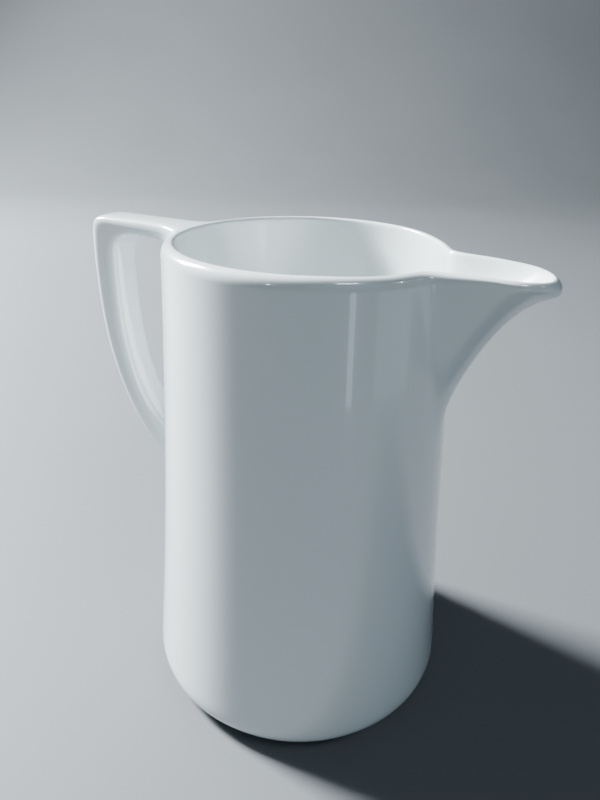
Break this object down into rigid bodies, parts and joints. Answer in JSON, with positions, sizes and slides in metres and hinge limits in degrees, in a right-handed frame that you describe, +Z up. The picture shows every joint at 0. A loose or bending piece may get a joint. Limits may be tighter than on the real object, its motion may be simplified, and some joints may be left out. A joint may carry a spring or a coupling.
{
  "type": "ceramic water jug",
  "caption": "Open one-piece glazed ceramic water jug: tapered body, raised foot ring, beak spout and a strap handle level with the rim.",
  "frame": {"origin": "on the surface the jug stands on, under the middle of its overall length", "axes": "+X towards the tip of the spout, -X towards the handle, +Z up, +Y across"},
  "size_m": [0.1851, 0.1292, 0.1906],
  "materials": {
    "glaze": "gloss",
    "bare_foot": "matte"
  },
  "bodies": {
    "root": {"body": "glaze", "spout": "glaze", "handle": "glaze", "foot_ring": "bare_foot"}
  },
  "joints": []
}
